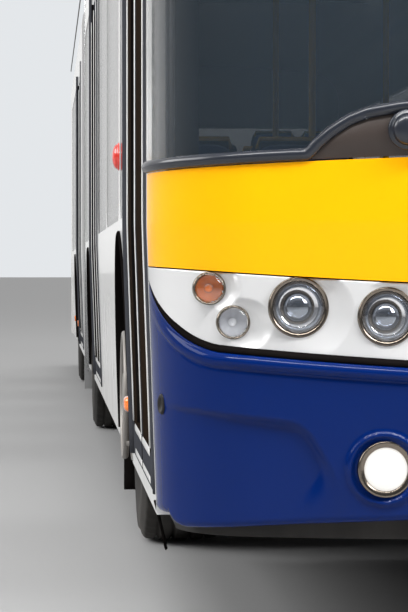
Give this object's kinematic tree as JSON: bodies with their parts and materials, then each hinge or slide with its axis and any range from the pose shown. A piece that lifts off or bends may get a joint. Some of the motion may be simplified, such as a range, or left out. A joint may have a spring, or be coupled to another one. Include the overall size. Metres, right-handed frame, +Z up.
{
  "type": "articulated bus",
  "caption": "Low-floor articulated city bus with a turning joint and bellows, steered front wheels, gliding double doors, and an engine hatch.",
  "frame": {"origin": "on the ground, at the middle of the length and width", "axes": "+Y to the rear, +X to the driver's side, +Z up"},
  "size_m": [2.99, 18.0033, 3.0798],
  "materials": {
    "body_paint": "white gloss paint",
    "yellow_paint": "yellow gloss paint",
    "blue_paint": "deep blue gloss paint",
    "silver_paint": "satin light grey paint",
    "black_trim": "black moulded trim",
    "dark_frame": "dark powder coat",
    "clear_glass": "tinted glass",
    "lamp_lens": "clear lamp lens",
    "red_lens": "red lamp lens",
    "tyre": "tyre rubber",
    "steel_wheel": "silver painted steel",
    "chassis": "black chassis paint",
    "cast_iron": "cast iron",
    "seat_cloth": "blue woven seat cloth",
    "bellows_cloth": "dark grey coated cloth",
    "aluminium": "anodised aluminium",
    "floor": "dark floor covering"
  },
  "bodies": {
    "front_section": {"front_floor": "floor", "front_left_side": "body_paint", "front_right_side": "body_paint", "front_roof": "body_paint", "front_frame": "chassis", "upper_front_panel": "yellow_paint", "headlamp_panel": "silver_paint", "front_bumper": "blue_paint", "cowl_panel": "black_trim", "windscreen": "clear_glass", "front_windows": "clear_glass", "front_lamps": "lamp_lens", "dashboard": "black_trim", "cab_partition": "dark_frame", "front_seats": "seat_cloth", "driver_seat": "seat_cloth", "mirrors": "black_trim", "front_axle": "chassis", "middle_axle": "chassis", "bellows": "bellows_cloth"},
    "rear_section": {"turntable": "floor", "rear_floor": "floor", "rear_left_side": "body_paint", "rear_right_side": "body_paint", "rear_roof": "body_paint", "rear_end": "body_paint", "rear_windows": "clear_glass", "rear_lamps": "red_lens", "rear_axle": "chassis", "engine": "cast_iron", "rear_seats": "seat_cloth"},
    "hoop": {"bellows_hoop": "aluminium"},
    "steering": {"steering_wheel": "black_trim"},
    "hatch": {"engine_hatch": "body_paint"},
    "left_knuckle": {"left_knuckle": "chassis"},
    "right_knuckle": {"right_knuckle": "chassis"},
    "right_front_wheel": {"right_front_wheel": "steel_wheel", "right_front_tyre": "tyre"},
    "right_middle_wheel": {"right_middle_wheel": "steel_wheel", "right_middle_tyres": "tyre"},
    "right_rear_wheel": {"right_rear_wheel": "steel_wheel", "right_rear_tyres": "tyre"},
    "left_front_wheel": {"left_front_wheel": "steel_wheel", "left_front_tyre": "tyre"},
    "left_middle_wheel": {"left_middle_wheel": "steel_wheel", "left_middle_tyres": "tyre"},
    "left_rear_wheel": {"left_rear_wheel": "steel_wheel", "left_rear_tyres": "tyre"},
    "door_1_front_post": {"door_1_front_post": "dark_frame"},
    "door_1_front_leaf": {"door_1_front_leaf": "dark_frame"},
    "door_1_rear_post": {"door_1_rear_post": "dark_frame"},
    "door_1_rear_leaf": {"door_1_rear_leaf": "dark_frame"},
    "door_2_front_post": {"door_2_front_post": "dark_frame"},
    "door_2_front_leaf": {"door_2_front_leaf": "dark_frame"},
    "door_2_rear_post": {"door_2_rear_post": "dark_frame"},
    "door_2_rear_leaf": {"door_2_rear_leaf": "dark_frame"},
    "door_3_front_post": {"door_3_front_post": "dark_frame"},
    "door_3_front_leaf": {"door_3_front_leaf": "dark_frame"},
    "door_3_rear_post": {"door_3_rear_post": "dark_frame"},
    "door_3_rear_leaf": {"door_3_rear_leaf": "dark_frame"}
  },
  "joints": [
    {"name": "articulation", "type": "hinge", "parent": "front_section", "child": "rear_section", "pos_m": [0, 1.3, 0.3], "axis": [0, 0, 1], "range_deg": [-46, 46], "deforming": ["bellows"]},
    {"name": "hoop_turn", "type": "hinge", "parent": "front_section", "child": "hoop", "pos_m": [0, 1.3, 0.3], "axis": [0, 0, 1], "range_deg": [-23, 23]},
    {"name": "left_steer", "type": "hinge", "parent": "front_section", "child": "left_knuckle", "pos_m": [0.927, -6.3, 0.4785], "axis": [0, 0, 1], "range_deg": [-45, 45]},
    {"name": "right_steer", "type": "hinge", "parent": "front_section", "child": "right_knuckle", "pos_m": [-0.927, -6.3, 0.4785], "axis": [0, 0, 1], "range_deg": [-45, 45]},
    {"name": "steering_turn", "type": "hinge", "parent": "front_section", "child": "steering", "pos_m": [0.7, -8.08, 1.13], "axis": [0, 0.5736, 0.8192], "range_deg": [-720, 720]},
    {"name": "hatch_hinge", "type": "hinge", "parent": "rear_section", "child": "hatch", "pos_m": [0, 8.99, 1.274], "axis": [1, 0, 0], "range_deg": [0, 80]},
    {"name": "right_front_spin", "type": "hinge", "parent": "right_knuckle", "child": "right_front_wheel", "pos_m": [-1.077, -6.3, 0.4785], "axis": [1, 0, 0], "continuous": true},
    {"name": "right_middle_spin", "type": "hinge", "parent": "front_section", "child": "right_middle_wheel", "pos_m": [-0.952, -0.4, 0.4785], "axis": [1, 0, 0], "continuous": true},
    {"name": "right_rear_spin", "type": "hinge", "parent": "rear_section", "child": "right_rear_wheel", "pos_m": [-0.952, 5.6, 0.4785], "axis": [1, 0, 0], "continuous": true},
    {"name": "left_front_spin", "type": "hinge", "parent": "left_knuckle", "child": "left_front_wheel", "pos_m": [1.077, -6.3, 0.4785], "axis": [1, 0, 0], "continuous": true},
    {"name": "left_middle_spin", "type": "hinge", "parent": "front_section", "child": "left_middle_wheel", "pos_m": [0.952, -0.4, 0.4785], "axis": [1, 0, 0], "continuous": true},
    {"name": "left_rear_spin", "type": "hinge", "parent": "rear_section", "child": "left_rear_wheel", "pos_m": [0.952, 5.6, 0.4785], "axis": [1, 0, 0], "continuous": true},
    {"name": "door_1_front_post_turn", "type": "hinge", "parent": "front_section", "child": "door_1_front_post", "pos_m": [-1.222, -8.45, 1.2], "axis": [0, 0, -1], "range_deg": [0, 82]},
    {"name": "door_1_front_leaf_turn", "type": "hinge", "parent": "door_1_front_post", "child": "door_1_front_leaf", "pos_m": [-1.222, -8.12, 1.2], "axis": [0, 0, -1], "range_deg": [-164, 0]},
    {"name": "door_1_rear_post_turn", "type": "hinge", "parent": "front_section", "child": "door_1_rear_post", "pos_m": [-1.222, -7.13, 1.2], "axis": [0, 0, 1], "range_deg": [0, 82]},
    {"name": "door_1_rear_leaf_turn", "type": "hinge", "parent": "door_1_rear_post", "child": "door_1_rear_leaf", "pos_m": [-1.222, -7.46, 1.2], "axis": [0, 0, 1], "range_deg": [-164, 0]},
    {"name": "door_2_front_post_turn", "type": "hinge", "parent": "front_section", "child": "door_2_front_post", "pos_m": [-1.222, -2.83, 1.2], "axis": [0, 0, -1], "range_deg": [0, 82]},
    {"name": "door_2_front_leaf_turn", "type": "hinge", "parent": "door_2_front_post", "child": "door_2_front_leaf", "pos_m": [-1.222, -2.5, 1.2], "axis": [0, 0, -1], "range_deg": [-164, 0]},
    {"name": "door_2_rear_post_turn", "type": "hinge", "parent": "front_section", "child": "door_2_rear_post", "pos_m": [-1.222, -1.51, 1.2], "axis": [0, 0, 1], "range_deg": [0, 82]},
    {"name": "door_2_rear_leaf_turn", "type": "hinge", "parent": "door_2_rear_post", "child": "door_2_rear_leaf", "pos_m": [-1.222, -1.84, 1.2], "axis": [0, 0, 1], "range_deg": [-164, 0]},
    {"name": "door_3_front_post_turn", "type": "hinge", "parent": "rear_section", "child": "door_3_front_post", "pos_m": [-1.222, 2.62, 1.2], "axis": [0, 0, -1], "range_deg": [0, 82]},
    {"name": "door_3_front_leaf_turn", "type": "hinge", "parent": "door_3_front_post", "child": "door_3_front_leaf", "pos_m": [-1.222, 2.95, 1.2], "axis": [0, 0, -1], "range_deg": [-164, 0]},
    {"name": "door_3_rear_post_turn", "type": "hinge", "parent": "rear_section", "child": "door_3_rear_post", "pos_m": [-1.222, 3.94, 1.2], "axis": [0, 0, 1], "range_deg": [0, 82]},
    {"name": "door_3_rear_leaf_turn", "type": "hinge", "parent": "door_3_rear_post", "child": "door_3_rear_leaf", "pos_m": [-1.222, 3.61, 1.2], "axis": [0, 0, 1], "range_deg": [-164, 0]}
  ],
  "couplings": [
    {"joint": "hoop_turn", "follows": "articulation", "ratio": 0.5},
    {"joint": "right_steer", "follows": "left_steer", "ratio": 1},
    {"joint": "steering_turn", "follows": "left_steer", "ratio": 16},
    {"joint": "door_1_front_leaf_turn", "follows": "door_1_front_post_turn", "ratio": -2},
    {"joint": "door_1_rear_post_turn", "follows": "door_1_front_post_turn", "ratio": 1},
    {"joint": "door_1_rear_leaf_turn", "follows": "door_1_front_post_turn", "ratio": -2},
    {"joint": "door_2_front_leaf_turn", "follows": "door_2_front_post_turn", "ratio": -2},
    {"joint": "door_2_rear_post_turn", "follows": "door_2_front_post_turn", "ratio": 1},
    {"joint": "door_2_rear_leaf_turn", "follows": "door_2_front_post_turn", "ratio": -2},
    {"joint": "door_3_front_leaf_turn", "follows": "door_3_front_post_turn", "ratio": -2},
    {"joint": "door_3_rear_post_turn", "follows": "door_3_front_post_turn", "ratio": 1},
    {"joint": "door_3_rear_leaf_turn", "follows": "door_3_front_post_turn", "ratio": -2}
  ]
}
